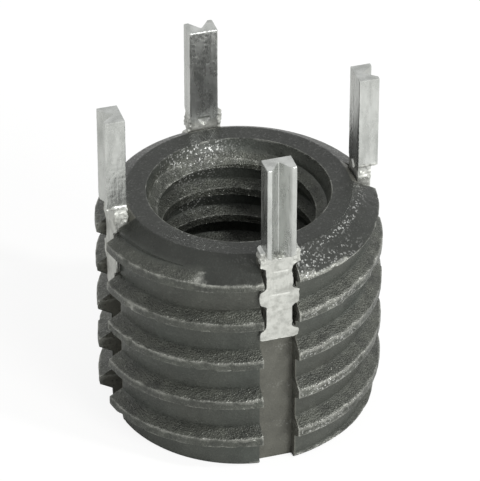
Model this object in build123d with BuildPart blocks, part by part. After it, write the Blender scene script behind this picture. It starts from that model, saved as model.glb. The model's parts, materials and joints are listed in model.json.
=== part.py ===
from build123d import *
import math
import os

# A heavy-duty key-locking threaded insert, as supplied, before its keys are driven.
# Origin: centre of the flat bottom face. +Z runs up the bore. The keys are on -Y, +X, +Y and -X.

# Sleeve: a turned steel bush with a coarse right-hand thread outside (7/16-14)
outer_diameter = 11.11
outer_pitch = 25.4 / 14
outer_thread_depth = 0.54
outer_crest_flat = 0.34
outer_crest_height = 0.195
thread_angle = 60.0
sleeve_length = 9.50
top_flat_diameter = 8.74
top_chamfer_angle = 30.0
bottom_flat_diameter = 9.80
bottom_chamfer_angle = 45.0

# Bore: a right-hand 1/4-20 thread from end to end, cut wide for easy clearance. Each mouth has a
# short steep bevel down to the thread's major diameter, and then a cone that trims the first crest.
inner_major_diameter = 6.76
inner_minor_diameter = 5.90
inner_pitch = 25.4 / 20
inner_crest_flat = 0.31
inner_crest_height = 0.795
mouth_diameter = 7.12
mouth_bevel_angle = 70.0
lead_in_diameter = 6.80
lead_in_angle = 40.0

# Slots: four straight channels, milled from end to end through the outer thread
slot_width = 1.41
slot_floor_distance = 4.60

# Keys: a grooved bar stands above the sleeve, and its leg is staked into the slot
key_bar_width = 1.15
key_bar_depth = 0.82
key_bar_length = 3.92
key_shoulder_gap = 0.42
key_groove_width = 0.79
key_groove_depth = 0.50
key_end_chamfer = 0.06
key_lip_drop = 0.22
key_lip_depth = 0.22
key_leg_width = 1.08
key_leg_setback = 0.26
key_leg_reach = 3.50
stake_width = 1.53
stake_clearance = 0.04
stake_corner_radius = 0.20

# Where each key stands, as an angle about the bore from +X
key_angles = {"key_front": -90, "key_right": 0, "key_back": 90, "key_left": 180}

# Sizes that follow from those above
outer_radius = outer_diameter / 2
outer_root_radius = outer_radius - outer_thread_depth
top_flat_radius = top_flat_diameter / 2
bottom_flat_radius = bottom_flat_diameter / 2
mouth_radius = mouth_diameter / 2
lead_in_radius = lead_in_diameter / 2
inner_major_radius = inner_major_diameter / 2
inner_minor_radius = inner_minor_diameter / 2
top_chamfer_slope = math.tan(math.radians(top_chamfer_angle))
bottom_chamfer_slope = math.tan(math.radians(bottom_chamfer_angle))
lead_in_slope = math.tan(math.radians(lead_in_angle))
flank_slope = math.tan(math.radians(thread_angle / 2))
mouth_bevel_drop = (mouth_radius - lead_in_radius) * math.tan(math.radians(mouth_bevel_angle))
lead_in_tip_drop = mouth_bevel_drop + lead_in_radius * lead_in_slope

# The threads are made longer and a little taller than they end up, and turning trims them
trim_allowance = 2.5 * outer_pitch
thread_root_overlap = 0.06
thread_crest_allowance = 0.05
blank_radius = outer_radius + 0.30

os.makedirs("parts", exist_ok=True)


# One thread ridge: its section on the XZ plane, swept along a right-hand helix.
# A negative depth points the ridge inwards, for the bore.
def thread_ridge(pitch, crest_radius, depth, crest_flat, crest_height):
    start_height = crest_height - pitch
    turns = math.ceil((sleeve_length - start_height) / pitch) + 1
    base_radius = crest_radius - depth - math.copysign(thread_root_overlap, depth)
    tip_radius = crest_radius + math.copysign(thread_crest_allowance, depth)
    half_tip = crest_flat / 2 - thread_crest_allowance * flank_slope
    half_base = crest_flat / 2 + (abs(depth) + thread_root_overlap) * flank_slope
    with BuildPart() as ridge:
        with BuildLine():
            Helix(pitch, pitch * turns, tip_radius, center=(0, 0, start_height))
        with BuildSketch(Plane.XZ):
            with BuildLine():
                Polyline(
                    (base_radius, start_height - half_base),
                    (tip_radius, start_height - half_tip),
                    (tip_radius, start_height + half_tip),
                    (base_radius, start_height + half_base),
                    close=True,
                )
            make_face()
        sweep(is_frenet=True)
    return ridge.part


outer_ridge = thread_ridge(
    outer_pitch, outer_radius, outer_thread_depth, outer_crest_flat, outer_crest_height
)
inner_thread_depth = inner_major_radius - inner_minor_radius
inner_ridge = thread_ridge(
    inner_pitch, inner_minor_radius, -inner_thread_depth, inner_crest_flat, inner_crest_height
)

with BuildPart() as sleeve:
    # Plain wall between the two thread roots, with the thread ridges on both sides
    with BuildSketch(Plane.YZ):
        with BuildLine():
            Polyline(
                (inner_major_radius, -trim_allowance),
                (outer_root_radius, -trim_allowance),
                (outer_root_radius, sleeve_length + trim_allowance),
                (inner_major_radius, sleeve_length + trim_allowance),
                close=True,
            )
        make_face()
    revolve(axis=Axis.Z)
    add(outer_ridge)
    add(inner_ridge)

    # Turned ends: a chamfer round each flat face, and the two mouths of the bore
    with BuildSketch(Plane.YZ):
        with BuildLine():
            Polyline(
                (0, lead_in_tip_drop),
                (lead_in_radius, mouth_bevel_drop),
                (mouth_radius, 0),
                (bottom_flat_radius, 0),
                (blank_radius, (blank_radius - bottom_flat_radius) * bottom_chamfer_slope),
                (blank_radius, sleeve_length - (blank_radius - top_flat_radius) * top_chamfer_slope),
                (top_flat_radius, sleeve_length),
                (mouth_radius, sleeve_length),
                (lead_in_radius, sleeve_length - mouth_bevel_drop),
                (0, sleeve_length - lead_in_tip_drop),
                close=True,
            )
        make_face()
    revolve(axis=Axis.Z, mode=Mode.INTERSECT)

    # Turned outside and drilled bore: they leave a flat land along the crest of each thread
    with BuildSketch(Plane.XY):
        Circle(outer_radius)
        Circle(inner_minor_radius, mode=Mode.SUBTRACT)
    extrude(amount=sleeve_length, mode=Mode.INTERSECT)

    # Key slots
    slot_cut_depth = blank_radius - slot_floor_distance
    with BuildSketch(Plane.XY):
        with PolarLocations(slot_floor_distance + slot_cut_depth / 2, len(key_angles)):
            Rectangle(slot_cut_depth, slot_width)
    extrude(amount=sleeve_length, mode=Mode.SUBTRACT)

sleeve.part.label = "threaded_sleeve"
export_step(sleeve.part, "parts/threaded_sleeve.step")

# Heights on a key
leg_bottom = sleeve_length - key_leg_reach
bar_bottom = sleeve_length + key_shoulder_gap
bar_face = slot_floor_distance + key_bar_depth
leg_face = bar_face - key_leg_setback

# A staked lobe fills the flat root of the outer thread, between the flanks of two turns
root_flat = outer_pitch - outer_crest_flat - 2 * outer_thread_depth * flank_slope
stake_height = root_flat - 2 * stake_clearance
stake_base_distance = outer_root_radius + stake_clearance
lead_angle = math.degrees(math.atan(outer_pitch / (2 * math.pi * outer_root_radius)))
root_top = sleeve_length - (outer_root_radius - top_flat_radius) * top_chamfer_slope


# Middle heights of the thread roots that a key's leg passes, lowest first
def root_heights(angle):
    first_root = outer_crest_height + outer_pitch * (angle / 360 + 0.5)
    lowest = leg_bottom
    highest = root_top - stake_height / 2
    turns = range(math.ceil((lowest - first_root) / outer_pitch), math.ceil(sleeve_length / outer_pitch))
    heights = [first_root + outer_pitch * turn for turn in turns]
    return [height for height in heights if height <= highest]


for name, angle in key_angles.items():
    outward = Vector(1, 0, 0).rotate(Axis.Z, angle)
    along_thread = Vector(0, 1, 0).rotate(Axis.Z, angle)
    key_plane = Plane(origin=(0, 0, 0), x_dir=outward, z_dir=(0, 0, 1))

    with BuildPart() as key:
        # Bar: its outer face has a V groove down the middle
        with BuildSketch(key_plane.offset(bar_bottom)):
            with BuildLine():
                Polyline(
                    (slot_floor_distance, -key_bar_width / 2),
                    (bar_face, -key_bar_width / 2),
                    (bar_face, -key_groove_width / 2),
                    (bar_face - key_groove_depth, 0),
                    (bar_face, key_groove_width / 2),
                    (bar_face, key_bar_width / 2),
                    (slot_floor_distance, key_bar_width / 2),
                    close=True,
                )
            make_face()
        extrude(amount=key_bar_length)
        chamfer(key.faces().sort_by(Axis.Z)[-1].edges(), key_end_chamfer)

        # Pointed lip that closes the groove where the bar meets the leg
        with BuildSketch(Plane(origin=outward * bar_face, x_dir=along_thread, z_dir=outward)):
            with BuildLine():
                Polyline(
                    (-key_bar_width / 2, bar_bottom),
                    (0, bar_bottom - key_lip_drop),
                    (key_bar_width / 2, bar_bottom),
                    close=True,
                )
            make_face()
        extrude(amount=-key_lip_depth)

        # Leg: it lies on the slot's flat floor
        with BuildSketch(key_plane.offset(leg_bottom)):
            with Locations(((slot_floor_distance + leg_face) / 2, 0)):
                Rectangle(leg_face - slot_floor_distance, key_leg_width)
        extrude(amount=bar_bottom - leg_bottom)

        # Staked lobes: the leg's metal spread sideways over the thread roots
        for height in root_heights(angle):
            lobe_centre = outward * stake_base_distance + Vector(0, 0, height)
            with BuildSketch(Plane(origin=lobe_centre, x_dir=along_thread, z_dir=outward)):
                with Locations(Rotation(0, 0, lead_angle)):
                    RectangleRounded(stake_width, stake_height, stake_corner_radius)
            extrude(amount=leg_face - stake_base_distance)
        split(bisect_by=key_plane.offset(leg_bottom), keep=Keep.TOP)

    key.part.label = name
    export_step(key.part, f"parts/{name}.step")
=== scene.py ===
import json
import math

import bmesh
import bpy
import numpy as np
from mathutils import Matrix, Vector


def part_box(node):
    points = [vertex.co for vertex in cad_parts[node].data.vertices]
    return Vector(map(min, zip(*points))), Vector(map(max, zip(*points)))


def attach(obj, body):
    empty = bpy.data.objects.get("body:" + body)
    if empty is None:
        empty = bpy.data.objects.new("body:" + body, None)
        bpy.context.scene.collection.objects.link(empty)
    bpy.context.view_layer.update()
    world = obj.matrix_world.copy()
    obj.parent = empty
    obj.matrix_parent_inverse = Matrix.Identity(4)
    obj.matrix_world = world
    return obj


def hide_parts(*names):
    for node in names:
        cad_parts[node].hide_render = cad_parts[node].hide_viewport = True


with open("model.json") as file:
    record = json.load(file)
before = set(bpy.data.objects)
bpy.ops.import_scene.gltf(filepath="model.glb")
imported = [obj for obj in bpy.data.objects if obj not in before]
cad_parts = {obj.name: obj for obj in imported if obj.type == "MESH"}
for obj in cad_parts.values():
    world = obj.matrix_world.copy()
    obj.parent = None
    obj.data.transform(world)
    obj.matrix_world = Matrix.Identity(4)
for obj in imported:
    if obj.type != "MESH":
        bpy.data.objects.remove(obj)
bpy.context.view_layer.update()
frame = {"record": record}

# Threaded sleeve
# A steel bush turned from bar, with a coarse right-hand thread outside and a finer one inside. Four key slots
# are milled through the outer thread after it is cut, which leaves bright edges beside them. The finish is a
# dark phosphate coat, oiled, and it is rubbed bright along the thread crests and the rims. Painted highlight is
# added along the crest edges and rims, and painted glints where the lamps' highlights fall.
MM = 0.001

mounts = {mount["name"]: mount for mount in frame["record"]["mounts"]}
sleeve_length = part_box("threaded_sleeve")[1][2] / MM
crest_radius = mounts["outer_thread"]["dims"]["r_mm"]
root_radius = 5.015
outer_pitch = 25.4 / 14
outer_crest_flat = 0.34
outer_crest_height = 0.195
flank_slope = math.tan(math.radians(30))
top_flat_radius = 4.37
top_chamfer_slope = math.tan(math.radians(30))
bottom_flat_radius = 4.90
bottom_chamfer_slope = 1.0
bore_radius = mounts["inner_thread"]["dims"]["r_mm"]
bore_root_radius = 3.38
inner_pitch = 25.4 / 20
inner_crest_flat = 0.31
inner_crest_height = 0.795
mouth_radius = 3.56
lead_in_radius = 3.40
mouth_bevel_slope = math.tan(math.radians(70))
mouth_bevel_drop = (mouth_radius - lead_in_radius) * mouth_bevel_slope
lead_in_slope = math.tan(math.radians(40))
slot_half_width = 0.705
slot_floor = 4.60
slot_angles = (-90, 0, 90, 180)

# Rows beside each crest's edge, to keep it crisp, and rows along the rims of the flat ends
edge_width = 0.03
rim_width = 0.05
bottom_rim_inset = 0.08

# How deep rough turning has torn, wavered and nicked the ridges, and how far from an end that starts
torn_depth, torn_cell = 0.012, 0.17
waver_depth, waver_cell = 0.018, 0.8
nick_depth, nick_cell = 0.07, 0.32
root_grain = 0.004
end_margin = 0.15
bore_torn_depth, bore_torn_cell = 0.022, 0.15
bore_end_margin = 0.1

# One bright dent in a crest, at the front left
dent_angle, dent_height = math.radians(-155.3), 6.66
dent_half_angle, dent_half_height, dent_depth = 0.03, 0.13, 0.06


# Even random numbers on a lattice of cells of one size, blended smoothly between them: from -1 to 1
def roughness_at(points, cell, seed):
    lattice_size = 32
    lattice = np.random.RandomState(seed).uniform(-1, 1, (lattice_size, lattice_size, lattice_size))
    scaled = points / cell
    base = np.floor(scaled).astype(int)
    step = scaled - base
    step = step * step * (3 - 2 * step)
    total = np.zeros(points.shape[:-1])
    for corner in np.ndindex(2, 2, 2):
        weight = np.ones(points.shape[:-1])
        for axis in range(3):
            weight = weight * (step[..., axis] if corner[axis] else 1 - step[..., axis])
        index = [(base[..., axis] + corner[axis]) % lattice_size for axis in range(3)]
        total += weight * lattice[index[0], index[1], index[2]]
    return total


# The same numbers, from 0 to 1
def grain_at(points, cell, seed):
    return 0.5 + 0.5 * roughness_at(points, cell, seed)


def smooth_step(low, high, value):
    share = np.clip((value - low) / (high - low), 0, 1)
    return share * share * (3 - 2 * share)


# A soft line: 1 where the distance is nothing, and fading out over the width
def soft_line(distance, width):
    return np.exp(-((distance / width) ** 2))


def around_bore(radii, angles, heights):
    return np.stack([radii * np.cos(angles), radii * np.sin(angles), heights], axis=-1)


# Height above the middle of the nearest thread ridge: less than nothing below it
def above_ridge(heights, crest_line, pitch):
    return (heights - crest_line + pitch / 2) % pitch - pitch / 2


def ridge_height(offset, crest_flat, depth):
    return np.clip(depth - np.maximum(offset - crest_flat / 2, 0) / flank_slope, 0, depth)


# Rows of one pitch, as distances from the ridge's middle, with a row on each edge of its section
def ridge_rows(pitch, crest_flat, depth, flank_steps, root_steps):
    crest = crest_flat / 2
    root = crest + depth * flank_slope
    half = [crest - edge_width, crest, crest + edge_width]
    half += list(np.linspace(crest + edge_width, root, flank_steps + 1)[1:])
    half += list(np.linspace(root, pitch / 2, root_steps + 1)[1:-1])
    return np.array([-row for row in reversed(half)] + [0] + half + [pitch / 2])


# The rows of every turn, from two turns below the bottom end
def rows_of_turns(pitch_rows, pitch, turns):
    return np.concatenate([pitch_rows + pitch * (turn - 2) for turn in range(turns)])


# Move the row beside each corner of a section on to the corner itself, so that edges stay crisp
def snap_rows(heights, radius_gap):
    for row in range(heights.shape[1] - 1):
        here, there = radius_gap[:, row], radius_gap[:, row + 1]
        crossing = here * there < 0
        share = np.where(crossing, here / np.where(here == there, 1, here - there), 0)
        near = crossing & (share < 0.5)
        far = crossing & (share >= 0.5)
        rise = heights[:, row + 1] - heights[:, row]
        heights[near, row] += (share * rise)[near]
        heights[far, row + 1] -= ((1 - share) * rise)[far]


# Faces of a grid whose columns run once round the bore while its rows climb the thread by one pitch
def winding_faces(column_count, row_count, rows_per_turn, first_point, inward):
    faces = []
    for column in range(column_count):
        following = (column + 1) % column_count
        lift = rows_per_turn if following == 0 else 0
        here = first_point + column * row_count
        there = first_point + following * row_count + lift
        for row in range(row_count - 1 - lift):
            corners = (here + row, there + row, there + row + 1, here + row + 1)
            faces.append(corners[::-1] if inward else corners)
    return faces


sleeve_points = []
sleeve_layers = {"worn": [], "rooted": [], "faced": [], "milled": [], "glitter": []}


# Add a skin's points to the sleeve. Each layer gets one number for the skin, or one for each point.
def add_skin(points, **values):
    first_point = sum(len(part) for part in sleeve_points)
    sleeve_points.append(points.reshape(-1, 3))
    for layer, parts in sleeve_layers.items():
        parts.append(np.broadcast_to(values.get(layer, 0.0), points.shape[:-1]).reshape(-1))
    return first_point


def outline_radius(heights):
    top = top_flat_radius + (sleeve_length - heights) / top_chamfer_slope
    bottom = bottom_flat_radius + heights / bottom_chamfer_slope
    return np.minimum(top, bottom)


def mouth_outline(heights):
    depth = np.minimum(heights, sleeve_length - heights)
    bevel = mouth_radius - depth / mouth_bevel_slope
    lead_in = lead_in_radius - (depth - mouth_bevel_drop) / lead_in_slope
    return np.where(depth < mouth_bevel_drop, bevel, lead_in)


# Outer skin, column by column round the sleeve: slot floor, slot wall, threaded land, next slot's wall
floor_columns, wall_columns, land_columns = 8, 4, 88
columns = []
for slot_angle in slot_angles:
    for across in np.linspace(-slot_half_width, slot_half_width, floor_columns + 1):
        columns.append(("floor", slot_angle, across))
    for share in np.linspace(0, 1, wall_columns + 1)[1:]:
        columns.append(("wall", slot_angle, share))
    for share in np.linspace(0, 1, land_columns + 1)[1:]:
        columns.append(("land", slot_angle, share))
    for share in np.linspace(1, 0, wall_columns + 1)[1:-1]:
        columns.append(("far wall", slot_angle + 90, share))
column_count = len(columns)
kinds = np.array([column[0] for column in columns])
slot_of = np.radians([column[1] for column in columns])
share_of = np.array([column[2] for column in columns], dtype=float)
on_land = kinds == "land"
on_floor = kinds == "floor"
on_wall = ~on_land & ~on_floor

# The angle at which each column meets the thread, taken at half the thread's depth
outer_depth = crest_radius - root_radius
edge_angle = math.asin(slot_half_width / (root_radius + outer_depth / 2))
thread_angle = slot_of.copy()
thread_angle[kinds == "wall"] += edge_angle
thread_angle[kinds == "far wall"] -= edge_angle
thread_angle[on_land] += edge_angle + share_of[on_land] * (math.pi / 2 - 2 * edge_angle)
thread_angle[on_floor] += share_of[on_floor] / slot_half_width * edge_angle

pitch_rows = ridge_rows(outer_pitch, outer_crest_flat, outer_depth, flank_steps=4, root_steps=5)
outer_turns = math.ceil(sleeve_length / outer_pitch) + 3
crest_line = outer_crest_height + outer_pitch * thread_angle[:, None] / (2 * math.pi)
heights = crest_line + rows_of_turns(pitch_rows, outer_pitch, outer_turns)[None, :]


def outer_thread_radius(heights):
    offset = np.abs(above_ridge(heights, crest_line, outer_pitch))
    return root_radius + ridge_height(offset, outer_crest_flat, outer_depth)


snap_rows(heights, outer_thread_radius(heights) - outline_radius(heights))
heights = np.clip(heights, 0, sleeve_length)
threaded = outer_thread_radius(heights)
outline = outline_radius(heights)
radii = np.minimum(threaded, outline)

# Rough turning: the ridges are torn and nicked, and the roots between them are smoother
ridge_share = np.clip((threaded - root_radius) / outer_depth, 0, 1)
skin_points = around_bore(radii, thread_angle[:, None], heights)
inside_ends = smooth_step(0, end_margin, np.minimum(heights, sleeve_length - heights))
torn = grain_at(skin_points, torn_cell, seed=3)
waver = np.abs(roughness_at(skin_points, waver_cell, seed=5))
nick = smooth_step(0.42, 0.75, roughness_at(skin_points, nick_cell, seed=11))
on_ridge = smooth_step(0.05, 0.5, ridge_share)
depth_lost = on_ridge * (torn_depth * torn + waver_depth * waver + nick_depth * nick * ridge_share)
depth_lost = depth_lost + root_grain * torn
turned = (thread_angle[:, None] - dent_angle + math.pi) % (2 * math.pi) - math.pi
dent = np.exp(-((turned / dent_half_angle) ** 2) - ((heights - dent_height) / dent_half_height) ** 2)
depth_lost = depth_lost + dent_depth * dent * ridge_share
radii = radii - depth_lost * inside_ends

# Where the coat is rubbed bright, and where painted highlight is laid on the crest lines: along the edges of
# each crest, most of all the upper one, on the trimmed corners, beside the slots, beside the front key and in
# the dent. The widths are in millimetres.
edge_rub_width, lower_rub_width, slot_rub_width = 0.035, 0.025, 0.05
crest_rub, lower_rub, trimmed_rub, slot_rub, dent_rub = 0.24, 0.5, 0.8, 0.8, 1.6
even_rub, patchy_rub, front_key_highlight, rub_cell = 0.72, 0.45, 0.5, 0.3
front_key_angle, front_key_reach = -68, 16
crest_half = outer_crest_flat / 2
above_crest = above_ridge(heights, crest_line, outer_pitch)
on_crest = np.abs(above_crest) < crest_half
worn = soft_line(above_crest - crest_half, edge_rub_width) + crest_rub * on_crest
worn += lower_rub * soft_line(above_crest + crest_half, lower_rub_width)
trimmed = soft_line(threaded - outline, edge_rub_width)
worn = np.where(threaded < outline, worn, 0) + trimmed_rub * trimmed * (ridge_share > 0.02)
land_width = crest_radius * (math.pi / 2 - 2 * edge_angle)
slot_distance = np.where(on_land, np.minimum(share_of, 1 - share_of), 0) * land_width
beside_slot = np.where(on_floor, 0, soft_line(slot_distance, slot_rub_width))[:, None]
at_wall_top = np.where(on_wall, share_of > 0.9, True)[:, None]
worn = worn + slot_rub * beside_slot * at_wall_top * ridge_share
# Painted highlight: the crests within this reach of angle beside the front key are drawn brighter, where the
# lamp's highlight falls
front_key_highlight_zone = soft_line(np.degrees(thread_angle) - front_key_angle, front_key_reach)[:, None]
patchy = patchy_rub * roughness_at(skin_points, rub_cell, seed=21)
worn = worn * (even_rub + patchy + front_key_highlight * front_key_highlight_zone)
worn += dent_rub * dent * ridge_share
worn = np.clip(worn, 0, 1) * ~on_floor[:, None]

# Where the coat lies smooth, in a thread root or a slot and by half on a crest, where it lies on a turned end,
# and where it lies in a milled slot, which is painted paler: painted light of a slot lit from both sides
rooted = np.maximum(1 - smooth_step(0.0, 0.3, ridge_share), 0.5 * on_crest)
rooted[~on_land] = 1
faced = smooth_step(-0.02, 0.02, threaded - outline) * on_land[:, None]
milled = ~on_land[:, None]


# Painted glints: patches where bright crystals are drawn, where the lamps' highlights fall, given by angle,
# height, and half their width and height
def glitter_at(angles, heights, patches):
    total = np.zeros(heights.shape)
    for angle, height, half_angle, half_height in patches:
        turned = (np.degrees(angles) - angle + 180) % 360 - 180
        total += np.exp(-((turned / half_angle) ** 2) * 0.7 - ((heights - height) / half_height) ** 2 * 0.7)
    return np.clip(total, 0, 1)


# Painted glints right of the front key and along the top rim on the right, and on the bore's back-left wall
outer_patches = [(-77, 8.9, 9, 0.26), (-81, 9.3, 5, 0.08), (-40, 9.38, 32, 0.055)]
bore_patches = [(107, 9.25, 20, 0.35), (105, 8.3, 14, 0.35), (105, 7.0, 14, 0.35)]
glitter = glitter_at(thread_angle[:, None], heights, outer_patches)
# Painted glints on the crests beside the front key too
glitter = np.maximum(glitter, 0.6 * front_key_highlight_zone * on_crest)

# Press the slots' flat floors and straight walls into the skin
angles = np.broadcast_to(thread_angle[:, None], heights.shape).copy()
corner_radius = math.hypot(slot_floor, slot_half_width)
for index, (kind, slot_angle, share) in enumerate(columns):
    slot = math.radians(slot_angle)
    if kind == "floor":
        across = math.atan(share / slot_floor)
        radii[index] = np.minimum(radii[index], slot_floor / math.cos(across))
        angles[index] = slot + across
    elif kind == "land":
        edge = np.arcsin(slot_half_width / radii[index])
        angles[index] = slot + edge + share * (math.pi / 2 - 2 * edge)
    else:
        side = 1 if kind == "wall" else -1
        deep = np.minimum(radii[index], corner_radius)
        radii[index] = deep + share * (radii[index] - deep)
        angles[index] = slot + side * np.arcsin(slot_half_width / radii[index])

row_count = heights.shape[1]
skin_start = add_skin(
    around_bore(radii, angles, heights),
    worn=worn, rooted=rooted, faced=faced, milled=milled, glitter=glitter,
)
sleeve_faces = winding_faces(column_count, row_count, len(pitch_rows), skin_start, False)

# How much a bore mouth is rubbed bright, with painted highlight on its rim: a part all round, and a part that
# comes and goes
mouth_rub, patchy_mouth_rub, mouth_rub_seed = 0.55, 0.6, 23

# Flat end rings, from the outer skin to the two mouths of the bore. At the top, only the narrow outermost and
# innermost rows are rubbed bright, with painted highlight.
end_rings = (
    (0, 0, slot_floor - bottom_rim_inset),
    (sleeve_length, row_count - 1, top_flat_radius - rim_width),
)
for level, skin_row, rim_radius in end_rings:
    outside = (np.arange(column_count) * row_count + skin_row).tolist()
    for radius in (rim_radius, mouth_radius + rim_width, mouth_radius):
        ring = around_bore(radius, thread_angle, np.full(column_count, level))
        rim_worn = 0.0
        if radius == mouth_radius and level > 0:
            patchy = patchy_mouth_rub * roughness_at(ring, rub_cell, mouth_rub_seed)
            rim_worn = np.clip(mouth_rub + patchy, 0, 1)
        ring_start = add_skin(ring, worn=rim_worn, rooted=0.6, faced=1.0)
        inside = list(range(ring_start, ring_start + column_count))
        for column in range(column_count):
            following = (column + 1) % column_count
            corners = (outside[column], outside[following], inside[following], inside[column])
            sleeve_faces.append(corners if level else corners[::-1])
        outside = inside

# Bore skin: the inner thread, its crests bored flat, and a steep bevel and a lead-in cone at each mouth. It has
# a column for each different angle of the outer skin's, so that its rims meet the end rings point for point.
new_angle = np.append(True, np.abs(np.diff(thread_angle)) > 0.0001)
bore_angle = thread_angle[new_angle]
bore_depth = bore_root_radius - bore_radius
bore_pitch_rows = ridge_rows(inner_pitch, inner_crest_flat, bore_depth, flank_steps=2, root_steps=2)
inner_turns = math.ceil(sleeve_length / inner_pitch) + 3
bore_crest_line = inner_crest_height + inner_pitch * bore_angle[:, None] / (2 * math.pi)
bore_heights = bore_crest_line + rows_of_turns(bore_pitch_rows, inner_pitch, inner_turns)[None, :]


def inner_thread_radius(heights):
    offset = np.abs(above_ridge(heights, bore_crest_line, inner_pitch))
    return bore_root_radius - ridge_height(offset, inner_crest_flat, bore_depth)


snap_rows(bore_heights, inner_thread_radius(bore_heights) - mouth_outline(bore_heights))
bore_heights = np.clip(bore_heights, 0, sleeve_length)
bore_threaded = inner_thread_radius(bore_heights)
bore_radii = np.maximum(bore_threaded, mouth_outline(bore_heights))
bore_torn = grain_at(around_bore(bore_radii, bore_angle[:, None], bore_heights), bore_torn_cell, seed=7)
bore_end = smooth_step(0, bore_end_margin, np.minimum(bore_heights, sleeve_length - bore_heights))
bore_radii = bore_radii + bore_torn_depth * bore_torn * bore_end
bore_points = around_bore(bore_radii, bore_angle[:, None], bore_heights)
bore_offset = np.abs(above_ridge(bore_heights, bore_crest_line, inner_pitch))
bore_edge_width, bore_rim_width, bore_crest_rub, bore_crest_half = 0.03, 0.05, 0.2, 0.15
bore_worn = soft_line(bore_offset - inner_crest_flat / 2, bore_edge_width)
bore_worn = bore_worn + bore_crest_rub * (bore_offset < bore_crest_half)
bore_worn += soft_line(bore_heights - sleeve_length, bore_rim_width)
bore_worn = bore_worn * (mouth_rub + patchy_mouth_rub * roughness_at(bore_points, rub_cell, mouth_rub_seed))
# The bore's crest edges and mouth are rubbed bright with painted highlight, and painted glints lie on its
# back-left wall
bore_start = add_skin(
    bore_points,
    worn=np.clip(bore_worn, 0, 1),
    rooted=1 - smooth_step(0, 0.3, (bore_root_radius - bore_threaded) / bore_depth),
    glitter=glitter_at(bore_angle[:, None], bore_heights, bore_patches),
)
sleeve_faces += winding_faces(len(bore_angle), bore_heights.shape[1], len(bore_pitch_rows), bore_start, True)

merge_distance = 0.0005


# A piece from points in millimetres: rows clipped to one height are merged, and hard edges stay hard
def make_piece(name, points, faces, attributes, edge_degrees):
    mesh = bpy.data.meshes.new(name)
    mesh.from_pydata((np.asarray(points) * MM).tolist(), [], faces)
    for attribute, values in attributes.items():
        layer = mesh.attributes.new(attribute, "FLOAT", "POINT")
        layer.data.foreach_set("value", np.asarray(values, dtype=np.float32))
    merged = bmesh.new()
    merged.from_mesh(mesh)
    bmesh.ops.remove_doubles(merged, verts=merged.verts, dist=merge_distance * MM)
    merged.to_mesh(mesh)
    merged.free()
    mesh.shade_smooth()
    mesh.set_sharp_from_angle(angle=math.radians(edge_degrees))
    piece = bpy.data.objects.new(name, mesh)
    bpy.context.scene.collection.objects.link(piece)
    return piece


sleeve = make_piece(
    "phosphated_sleeve",
    np.concatenate(sleeve_points),
    sleeve_faces,
    {layer: np.concatenate(parts) for layer, parts in sleeve_layers.items()},
    edge_degrees=38,
)


# sRGB hex colour turned linear, with full opacity
def linear(hex_colour):
    channels = [int(hex_colour[start:start + 2], 16) / 255 for start in (1, 3, 5)]
    return tuple(c / 12.92 if c <= 0.04045 else ((c + 0.055) / 1.055) ** 2.4 for c in channels) + (1.0,)


# Add one node: its settings are properties or socket values, and its links feed its sockets. A Mix node of
# colours has its factor at socket 0, its two colours at 6 and 7, and its result at output 2.
def add_node(tree, kind, settings=None, links=None):
    node = tree.nodes.new(kind)
    for name, value in (settings or {}).items():
        if isinstance(name, str) and name in node.bl_rna.properties:
            setattr(node, name, value)
        else:
            node.inputs[name].default_value = value
    for name, output in (links or {}).items():
        tree.links.new(output, node.inputs[name])
    return node
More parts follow.
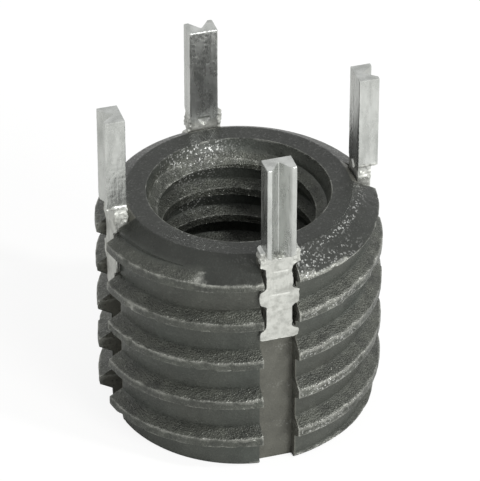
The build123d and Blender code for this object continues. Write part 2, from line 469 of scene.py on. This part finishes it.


# Oiled manganese phosphate on machined steel: a dark grey-green coat of fine crystals whose facets lean to
# glint at odd angles, and some of which are painted lighter as painted glints. It is smoother in the thread
# roots, painted palest in the slots as painted light, darkest on the faced ends, and rubbed bare on the edges,
# with painted highlight.
def make_phosphated_steel():
    material = bpy.data.materials.new("oiled_phosphate_on_turned_steel")
    material.use_nodes = True
    tree = material.node_tree
    shader = tree.nodes["Principled BSDF"]
    place = add_node(tree, "ShaderNodeTexCoord").outputs["Object"]
    worn, rooted, faced, milled, glitter = (
        add_node(tree, "ShaderNodeAttribute", {"attribute_name": name}).outputs["Fac"]
        for name in ("worn", "rooted", "faced", "milled", "glitter")
    )
    # Real crystals are about a hundredth of a millimetre: these are drawn larger, so that they show
    crystal_size = 0.06 * MM
    grit_size = 2 * crystal_size
    stain_size = 0.9 * MM
    cast_size = 4 * MM
    stain = add_node(
        tree, "ShaderNodeTexNoise", {"Scale": 1 / stain_size, "Detail": 6, "Roughness": 0.7}, {"Vector": place}
    ).outputs["Fac"]
    cast = add_node(
        tree, "ShaderNodeTexNoise", {"Scale": 1 / cast_size, "Detail": 2}, {"Vector": place}
    ).outputs["Fac"]
    crystal = add_node(tree, "ShaderNodeTexVoronoi", {"Scale": 1 / crystal_size}, {"Vector": place})
    grit = add_node(
        tree, "ShaderNodeTexNoise", {"Scale": 1 / grit_size, "Detail": 3, "Roughness": 0.7}, {"Vector": place}
    ).outputs["Fac"]

    # The coat's colour: blotchy on the flanks, evener in the roots, paler in the slots as painted light, and
    # different on the ends
    coat = add_node(tree, "ShaderNodeValToRGB", links={"Fac": stain})
    for stop, position, tone in zip(coat.color_ramp.elements, (0.34, 0.66), ("#31332e", "#4b4d46")):
        stop.position = position
        stop.color = linear(tone)
    root_tone = add_node(
        tree, "ShaderNodeMix", {"data_type": "RGBA", 6: linear("#373d39"), 7: linear("#464640")}, {0: cast}
    )
    smoother = add_node(
        tree, "ShaderNodeMix", {"data_type": "RGBA"},
        {0: rooted, 6: coat.outputs["Color"], 7: root_tone.outputs[2]},
    )
    # Painted light: the slot floors and walls are drawn paler, as lit from both sides
    slotted = add_node(
        tree, "ShaderNodeMix", {"data_type": "RGBA", 7: linear("#56564f")}, {0: milled, 6: smoother.outputs[2]}
    )
    ends = add_node(
        tree, "ShaderNodeMix", {"data_type": "RGBA", 7: linear("#282a26")}, {0: faced, 6: slotted.outputs[2]}
    )

    # Crystals on the flanks drawn lighter as painted glints, and near-white ones in the painted glint patches
    calm = add_node(tree, "ShaderNodeMath", {"operation": "MAXIMUM"}, {0: rooted, 1: faced}).outputs[0]
    glint_share = add_node(
        tree, "ShaderNodeMapRange", {"From Min": 0.72, "From Max": 0.9}, {"Value": crystal.outputs["Color"]}
    ).outputs["Result"]
    on_flank = add_node(
        tree, "ShaderNodeMapRange", {"To Min": 0.3, "To Max": 0.05}, {"Value": calm}
    ).outputs["Result"]
    glint = add_node(
        tree, "ShaderNodeMath", {"operation": "MULTIPLY"}, {0: glint_share, 1: on_flank}
    ).outputs[0]
    glint_cell_share = add_node(
        tree, "ShaderNodeMapRange", {"From Min": 0.70, "From Max": 0.80}, {"Value": crystal.outputs["Color"]}
    ).outputs["Result"]
    painted_sparkle = add_node(tree, "ShaderNodeMath", {"operation": "MULTIPLY"}, {0: glint_cell_share, 1: glitter}).outputs[0]
    glinting = add_node(
        tree, "ShaderNodeMix", {"data_type": "RGBA", 7: linear("#85867e")}, {0: glint, 6: ends.outputs[2]}
    )

    # Steel that shows where the coat is rubbed off, in grains, in the same colour as the painted highlight on
    # the crest edges
    rubbed = add_node(
        tree, "ShaderNodeMath", {"operation": "MULTIPLY", "use_clamp": True}, {0: worn, 1: grit}
    ).outputs[0]
    rub_and_highlight = add_node(
        tree, "ShaderNodeMapRange", {"From Min": 0.14, "From Max": 0.48}, {"Value": rubbed}
    ).outputs["Result"]
    mottle = add_node(
        tree, "ShaderNodeMapRange", {"From Min": 0.3, "From Max": 0.7, "To Min": 0.78, "To Max": 1.2},
        {"Value": stain},
    ).outputs["Result"]
    mottled = add_node(
        tree, "ShaderNodeVectorMath", {"operation": "SCALE"}, {0: glinting.outputs[2], "Scale": mottle}
    ).outputs["Vector"]
    rubbed_and_lit_coat = add_node(
        tree, "ShaderNodeMix", {"data_type": "RGBA", 7: linear("#8f908a")}, {0: rub_and_highlight, 6: mottled}
    )
    # Painted glints: the crystals in the glint patches are drawn near white
    colour = add_node(
        tree, "ShaderNodeMix", {"data_type": "RGBA", 7: linear("#b6b7b4")},
        {0: painted_sparkle, 6: rubbed_and_lit_coat.outputs[2]},
    )
    gloss = add_node(
        tree, "ShaderNodeMapRange", {"To Min": 0.50, "To Max": 0.24}, {"Value": glint_share}
    ).outputs["Result"]
    metal = add_node(
        tree, "ShaderNodeMapRange", {"To Min": 0.5, "To Max": 1.0}, {"Value": rub_and_highlight}
    ).outputs["Result"]

    # The grain of the coat, with a facet that leans its own way on each crystal
    height = add_node(
        tree, "ShaderNodeMath", {"operation": "ADD"}, {0: grit, 1: crystal.outputs["Distance"]}
    ).outputs[0]
    strength = add_node(
        tree, "ShaderNodeMapRange", {"To Min": 0.7, "To Max": 0.15}, {"Value": calm}
    ).outputs["Result"]
    relief = add_node(
        tree, "ShaderNodeBump", {"Distance": 0.04 * MM}, {"Height": height, "Strength": strength}
    ).outputs["Normal"]
    lean = add_node(
        tree, "ShaderNodeVectorMath", {"operation": "SUBTRACT", 1: (0.5, 0.5, 0.5)},
        {0: crystal.outputs["Color"]},
    ).outputs["Vector"]
    lean_by = add_node(
        tree, "ShaderNodeMapRange", {"To Min": 0.38, "To Max": 0.12}, {"Value": calm}
    ).outputs["Result"]
    leaning = add_node(
        tree, "ShaderNodeVectorMath", {"operation": "SCALE"}, {0: lean, "Scale": lean_by}
    ).outputs["Vector"]
    facet = add_node(
        tree, "ShaderNodeVectorMath", {"operation": "ADD"}, {0: relief, 1: leaning}
    ).outputs["Vector"]
    facing = add_node(
        tree, "ShaderNodeVectorMath", {"operation": "NORMALIZE"}, {0: facet}
    ).outputs["Vector"]
    tree.links.new(colour.outputs[2], shader.inputs["Base Color"])
    tree.links.new(gloss, shader.inputs["Roughness"])
    tree.links.new(metal, shader.inputs["Metallic"])
    tree.links.new(facing, shader.inputs["Normal"])
    shader.inputs["Coat Weight"].default_value = 0.2
    shader.inputs["Coat Roughness"].default_value = 0.35
    return material


sleeve.data.materials.append(make_phosphated_steel())
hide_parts("threaded_sleeve")
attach(sleeve, "root")

# Locking keys
# Four keys of bare steel wire, sawn to length. Each is a square bar with a V groove pressed down its outer
# face. Its leg lies in a slot of the sleeve, and a staking tool has spread it over the thread roots beside it.
key_bar_width = 1.15
key_bar_depth = 0.82
key_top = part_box("key_front")[1][2] / MM
key_bar_bottom = sleeve_length + 0.42
key_groove_width = 0.79
key_groove_depth = 0.50
key_tip_drop = 0.34
key_leg_width = 1.08
key_leg_setback = 0.26
key_leg_bottom = sleeve_length - 3.50
bar_face = slot_floor + key_bar_depth
leg_face = bar_face - key_leg_setback
key_grain = 0.03
key_angles = {"key_front": -90, "key_right": 0, "key_back": 90, "key_left": 180}
first_seed, seeds_apart = 40, 10

# The leg runs up behind the bar's foot, in rows. Inside the slot it stays clear of the walls, and outside it
# stays clear of the top chamfer. Its sawn end has lost a little of each side.
leg_rows = 90
leg_overlap = 0.14
within_slot = 0.68
clear_of_chamfer = root_radius + 0.03
clear_of_top = sleeve_length + 0.07
collar_start = slot_floor + 0.08
end_losses = (0.1, 0.16)

# How far each key's metal is pushed out sideways above the sleeve, on its left and on its right
collar_spreads = {
    "key_front": (0.24, 0.14), "key_right": (0.02, 0.02), "key_back": (0.24, 0.14), "key_left": (0.20, 0.30),
}
collar_middle = 9.65
collar_foot, collar_full = sleeve_length - 0.28, sleeve_length - 0.1
burr_depth, burr_cell = 0.05, 0.11

# How deep the wire's faces are worn: more where the key is staked, and finely all over
wear_depth, wear_cell = 0.012, 0.3
fine_wear_depth, fine_wear_cell = 0.006, 0.1

# A lobe over each thread root: where it starts and is full, its spread, and how much that varies. Both sides
# of the leg are ragged all the way up.
lobe_start, lobe_full = 0.44, 0.26
lobe_spread, lobe_variation, lobe_tilt = 0.26, 0.06, 0.03
ragged_depth, ragged_cell, ragged_allowance = 0.035, 0.16, 0.01

# The point under the bar is built from upright slices
tip_slices = 24
tip_start = slot_floor + 0.1
tip_overlap = 0.1

# The staking punch left a shallow frame on the leg
frame_middle = sleeve_length - 0.90
frame_side = 0.05
frame_half_width, frame_half_height, frame_line, frame_depth = 0.33, 0.52, 0.03, 0.013


# A closed prism standing on a section of (outward, along the thread) points, between two heights
def add_prism(shape, section, low, high):
    count = len(section)
    bottom = [shape.verts.new((x, y, low)) for x, y in section]
    top = [shape.verts.new((x, y, high)) for x, y in section]
    shape.faces.new(bottom[::-1])
    shape.faces.new(top)
    for index in range(count):
        following = (index + 1) % count
        shape.faces.new((bottom[index], bottom[following], top[following], top[index]))


# Middle heights of the thread roots that a key's leg passes, up to the one that runs out above the sleeve
def root_heights(angle):
    first = outer_crest_height + outer_pitch * (angle / 360 + 0.5)
    heights = [first + outer_pitch * turn for turn in range(-1, outer_turns)]
    return [height for height in heights if key_leg_bottom - 0.1 <= height <= key_bar_bottom - 0.1]


# Half the leg's width at each height: narrow between the ridges, spread where the staking tool pushed it out.
# The side is 1 on the left and -1 on the right.
def leg_half_widths(levels, roots, seed, side, collar_spread):
    spread = np.zeros(len(levels))
    for number, root in enumerate(roots):
        lobe = smooth_step(lobe_start, lobe_full, np.abs(levels - root - lobe_tilt * side))
        along = np.full((1, 3), 7.3 * seed + 2.1 * number + 5.0 * side)
        spread = np.maximum(spread, lobe * (lobe_spread + lobe_variation * roughness_at(along, 1.0, seed)[0]))
    collar = smooth_step(collar_foot, collar_full, levels)
    collar *= 1 - smooth_step(key_bar_bottom - 0.02, key_bar_bottom + leg_overlap, levels)
    spread = np.maximum(spread, collar * collar_spread)
    ragged = np.column_stack([levels, np.full(len(levels), 3.0 * side), np.full(len(levels), 1.0)])
    ragged_edge = ragged_depth * roughness_at(ragged, ragged_cell, seed + 3)
    return key_leg_width / 2 - ragged_allowance + spread + ragged_edge


# A slab whose outline follows the leg's two sides, with a notch at its top under the bar's groove
def add_leg_slab(shape, levels, left, right, low, high):
    outline = [(-width, level) for width, level in zip(left, levels)]
    notch_half = key_groove_width / 2
    outline += [(-notch_half, levels[-1]), (0, key_bar_bottom - key_tip_drop), (notch_half, levels[-1])]
    outline += [(width, level) for width, level in zip(right[::-1], levels[::-1])]
    near = [shape.verts.new((low, across, level)) for across, level in outline]
    far = [shape.verts.new((high, across, level)) for across, level in outline]
    shape.faces.new(near)
    shape.faces.new(far[::-1])
    for index in range(len(outline)):
        following = (index + 1) % len(outline)
        shape.faces.new((near[index], far[index], far[following], near[following]))


# The key as overlapping solids, standing in the slot at +X: the bar, the leg, its lobes, its collar and the
# point under the bar
def key_shape(name, angle, seed):
    shape = bmesh.new()
    half = key_bar_width / 2
    groove = key_groove_width / 2
    bar_section = [
        (slot_floor, -half), (bar_face, -half), (bar_face, -groove), (bar_face - key_groove_depth, 0),
        (bar_face, groove), (bar_face, half), (slot_floor, half),
    ]
    add_prism(shape, bar_section, key_bar_bottom, key_top)

    levels = np.linspace(key_leg_bottom, key_bar_bottom + leg_overlap, leg_rows)
    roots = root_heights(angle)
    left_spread, right_spread = collar_spreads[name]
    left = leg_half_widths(levels, roots, seed, 1, left_spread)
    right = leg_half_widths(levels, roots, seed + 1, -1, right_spread)
    left[0] -= end_losses[0]
    right[0] -= end_losses[1]
    add_leg_slab(
        shape, levels, np.minimum(left, within_slot), np.minimum(right, within_slot), slot_floor, leg_face
    )
    add_leg_slab(shape, levels, left, right, clear_of_chamfer, leg_face)
    above = levels > clear_of_top
    add_leg_slab(shape, levels[above], left[above], right[above], collar_start, leg_face)

    across = np.linspace(-half, half, tip_slices + 1)
    tip_faces = bar_face - key_groove_depth * np.clip(1 - np.abs(across) / groove, 0, 1)
    tip_levels = key_bar_bottom - key_tip_drop * (1 - np.abs(across) / half)
    for index in range(tip_slices):
        here, there = across[index], across[index + 1]
        section = [
            (tip_start, here), (tip_faces[index], here), (tip_faces[index + 1], there), (tip_start, there),
        ]
        add_prism(shape, section, max(tip_levels[index], tip_levels[index + 1]), key_bar_bottom + tip_overlap)
    return shape


# The key's solids run together into one skin, which is softened, worn and burred, and turned to its slot
def make_key(name, angle, seed):
    shape = key_shape(name, angle, seed)
    mesh = bpy.data.meshes.new(name + "_steel")
    shape.to_mesh(mesh)
    shape.free()
    solid = bpy.data.objects.new(name + "_steel", mesh)
    bpy.context.scene.collection.objects.link(solid)
    remesh = solid.modifiers.new("grain", "REMESH")
    remesh.mode = "VOXEL"
    remesh.voxel_size = key_grain
    soften = solid.modifiers.new("soften", "SMOOTH")
    soften.factor = 0.5
    soften.iterations = 2
    bpy.context.view_layer.update()
    evaluated = solid.evaluated_get(bpy.context.evaluated_depsgraph_get())
    formed = bpy.data.meshes.new_from_object(evaluated)
    points = np.empty(len(formed.vertices) * 3)
    formed.vertices.foreach_get("co", points)
    points = points.reshape(-1, 3)
    normals = np.empty(len(formed.vertices) * 3)
    formed.vertex_normals.foreach_get("vector", normals)
    normals = normals.reshape(-1, 3)
    outward, across, levels = points.T

    staked = 1 - smooth_step(key_bar_bottom - 0.3, key_bar_bottom, levels)
    shift = -wear_depth * grain_at(points, wear_cell, seed) * (0.4 + staked)
    shift -= fine_wear_depth * grain_at(points, fine_wear_cell, seed + 1)
    on_collar = smooth_step(0.5, 0.6, np.abs(across)) * smooth_step(0.45, 0.2, np.abs(levels - collar_middle))
    shift += burr_depth * on_collar * roughness_at(points, burr_cell, seed + 2)
    # The collar counts double, because its torn burrs are the roughest
    staked = np.maximum(staked, 2 * on_collar)
    frame_edge = np.maximum(
        np.abs(across - frame_side) - frame_half_width, np.abs(levels - frame_middle) - frame_half_height
    )
    shift -= frame_depth * soft_line(frame_edge, frame_line) * (outward > leg_face - 0.03)
    points = points + normals * shift[:, None]
    turn = np.array(Matrix.Rotation(math.radians(angle), 3, "Z"))
    faces = [tuple(face.vertices) for face in formed.polygons]
    key = make_piece(name + "_wire", points @ turn.T, faces, {"staked": staked}, edge_degrees=50)
    bpy.data.objects.remove(solid)
    return key


# Bare drawn steel, oiled: pale grey and satin, faintly streaked along the wire, dull where it is staked. Its
# real draw marks are finer than these, which are drawn coarse enough to show.
def make_bare_steel():
    material = bpy.data.materials.new("bare_drawn_steel_wire")
    material.use_nodes = True
    tree = material.node_tree
    shader = tree.nodes["Principled BSDF"]
    place = add_node(tree, "ShaderNodeTexCoord").outputs["Object"]
    staked = add_node(tree, "ShaderNodeAttribute", {"attribute_name": "staked"}).outputs["Fac"]
    streak_size = 0.12 * MM
    blotch_size = 0.6 * MM
    mottle_size = 0.3 * MM
    stretched = add_node(
        tree, "ShaderNodeMapping", {"Scale": (1, 1, 0.12)}, {"Vector": place}
    ).outputs["Vector"]
    streak = add_node(
        tree, "ShaderNodeTexNoise", {"Scale": 1 / streak_size, "Detail": 2}, {"Vector": stretched}
    ).outputs["Fac"]
    banded = add_node(
        tree, "ShaderNodeMapping", {"Scale": (1, 1, 0.3)}, {"Vector": place}
    ).outputs["Vector"]
    blotch = add_node(
        tree, "ShaderNodeTexNoise", {"Scale": 1 / blotch_size, "Detail": 5, "Roughness": 0.6},
        {"Vector": banded},
    ).outputs["Fac"]
    mottle = add_node(
        tree, "ShaderNodeTexNoise", {"Scale": 1 / mottle_size, "Detail": 4, "Roughness": 0.7},
        {"Vector": place},
    ).outputs["Fac"]
    tone = add_node(tree, "ShaderNodeValToRGB", links={"Fac": blotch})
    for stop, position, shade in zip(tone.color_ramp.elements, (0.36, 0.62), ("#a2a4a1", "#c0c2bf")):
        stop.position = position
        stop.color = linear(shade)
    dull = add_node(tree, "ShaderNodeValToRGB", links={"Fac": mottle})
    for stop, position, shade in zip(dull.color_ramp.elements, (0.36, 0.56), ("#a2a39e", "#bcbdb8")):
        stop.position = position
        stop.color = linear(shade)
    colour = add_node(
        tree, "ShaderNodeMix", {"data_type": "RGBA"},
        {0: staked, 6: tone.outputs["Color"], 7: dull.outputs["Color"]},
    )
    wire_gloss = add_node(
        tree, "ShaderNodeMapRange", {"From Min": 0.3, "From Max": 0.7, "To Min": 0.22, "To Max": 0.34},
        {"Value": blotch},
    ).outputs["Result"]
    gloss = add_node(
        tree, "ShaderNodeMath", {"operation": "MULTIPLY_ADD", 1: 0.22}, {0: staked, 2: wire_gloss}
    ).outputs[0]
    height = add_node(tree, "ShaderNodeMath", {"operation": "ADD"}, {0: streak, 1: blotch}).outputs[0]
    relief = add_node(
        tree, "ShaderNodeBump", {"Distance": 0.02 * MM, "Strength": 0.6}, {"Height": height}
    ).outputs["Normal"]
    tree.links.new(colour.outputs[2], shader.inputs["Base Color"])
    tree.links.new(gloss, shader.inputs["Roughness"])
    tree.links.new(relief, shader.inputs["Normal"])
    shader.inputs["Metallic"].default_value = 0.9
    return material


bare_steel = make_bare_steel()
for number, (node, angle) in enumerate(key_angles.items()):
    key = make_key(node, angle, first_seed + seeds_apart * number)
    key.data.materials.append(bare_steel)
    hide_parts(node)
    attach(key, "root")

# Table top
# A sheet of matt white card under the insert. The camera sees it a little whiter than it is lit, so that it
# runs into the white background, and it keeps the insert's soft shadow.
card_half = 400 * MM
card_whitening = 0.85
card_white = 1.03
card_corners = [(x * card_half, y * card_half, 0) for x, y in ((-1, -1), (1, -1), (1, 1), (-1, 1))]
card_mesh = bpy.data.meshes.new("white_card")
card_mesh.from_pydata(card_corners, [], [(0, 1, 2, 3)])
card = bpy.data.objects.new("white_card", card_mesh)
bpy.context.scene.collection.objects.link(card)
card_material = bpy.data.materials.new("matt_white_card")
card_material.use_nodes = True
card_tree = card_material.node_tree
card_shader = card_tree.nodes["Principled BSDF"]
card_shader.inputs["Base Color"].default_value = linear("#f4f4f2")
card_shader.inputs["Roughness"].default_value = 0.9
card_glow = add_node(card_tree, "ShaderNodeEmission", {"Color": (1, 1, 1, 1), "Strength": card_white})
card_path = add_node(card_tree, "ShaderNodeLightPath")
card_seen = add_node(
    card_tree, "ShaderNodeMath", {"operation": "MULTIPLY", 1: card_whitening},
    {0: card_path.outputs["Is Camera Ray"]},
)
card_mix = add_node(
    card_tree, "ShaderNodeMixShader",
    links={0: card_seen.outputs[0], 1: card_shader.outputs["BSDF"], 2: card_glow.outputs["Emission"]},
)
card_tree.links.new(card_mix.outputs["Shader"], card_tree.nodes["Material Output"].inputs["Surface"])
card.data.materials.append(card_material)

# Studio light
# A white tent lights the insert evenly. A soft lamp stands at the front right, and a small one higher and
# further to the right. Cameras and reflections see the tent as plain white.
lamp_aim_height = 6
world = bpy.data.worlds.new("white_tent")
bpy.context.scene.world = world
world.use_nodes = True
tent = world.node_tree
tent_path = add_node(tent, "ShaderNodeLightPath")
seen_or_mirrored = add_node(
    tent, "ShaderNodeMath", {"operation": "MAXIMUM"},
    {0: tent_path.outputs["Is Camera Ray"], 1: tent_path.outputs["Is Glossy Ray"]},
)
seen_at_all = add_node(
    tent, "ShaderNodeMath", {"operation": "MAXIMUM"},
    {0: seen_or_mirrored.outputs[0], 1: tent_path.outputs["Is Transmission Ray"]},
)
tent_level = add_node(
    tent, "ShaderNodeMapRange", {"To Min": 0.55, "To Max": 1.0}, {"Value": seen_at_all.outputs[0]}
)
tent.nodes["Background"].inputs["Color"].default_value = (1, 1, 1, 1)
tent.links.new(tent_level.outputs["Result"], tent.nodes["Background"].inputs["Strength"])


# A round lamp turned to the insert: its diameter and its place are in millimetres
def add_lamp(name, diameter, watts, place):
    data = bpy.data.lights.new(name, "AREA")
    data.shape = "DISK"
    data.size = diameter * MM
    data.energy = watts
    lamp = bpy.data.objects.new(name, data)
    lamp.location = Vector(place) * MM
    aim = Vector((0, 0, lamp_aim_height)) * MM
    lamp.rotation_euler = (aim - lamp.location).to_track_quat("-Z", "Y").to_euler()
    bpy.context.scene.collection.objects.link(lamp)


add_lamp("soft_lamp", diameter=110, watts=0.55, place=(95, -225, 100))
add_lamp("small_lamp", diameter=22, watts=0.22, place=(113, -105, 184))

# Camera
# A long lens from the front, well above the rim, as in the photograph. It stands to the left of the front key
# by the angle below.
image_width = 480
image_height = 481
focal_pixels = 3863.5
sensor_width = 36.0
camera_elevation = math.radians(34.65)
camera_side = math.radians(-17.2)
camera_distance = 149.22
aim_height = 7.10
aim_side = 0.044
camera_data = bpy.data.cameras.new("camera")
camera_data.sensor_fit = "AUTO"
camera_data.sensor_width = sensor_width
camera_data.lens = focal_pixels * sensor_width / max(image_width, image_height)
camera_data.clip_start = 0.001
camera_data.clip_end = 10
camera = bpy.data.objects.new("camera", camera_data)
side_turn = Matrix.Rotation(camera_side, 3, "Z")
line_of_sight = side_turn @ Vector((0, math.cos(camera_elevation), -math.sin(camera_elevation)))
upward = side_turn @ Vector((0, math.sin(camera_elevation), math.cos(camera_elevation)))
rightward = side_turn @ Vector((1, 0, 0))
aim = rightward * aim_side + Vector((0, 0, aim_height))
eye = (aim - line_of_sight * camera_distance) * MM
camera.matrix_world = Matrix((
    (rightward.x, upward.x, -line_of_sight.x, eye.x),
    (rightward.y, upward.y, -line_of_sight.y, eye.y),
    (rightward.z, upward.z, -line_of_sight.z, eye.z),
    (0, 0, 0, 1),
))
bpy.context.scene.collection.objects.link(camera)
bpy.context.scene.camera = camera
bpy.context.scene.view_settings.view_transform = "Standard"
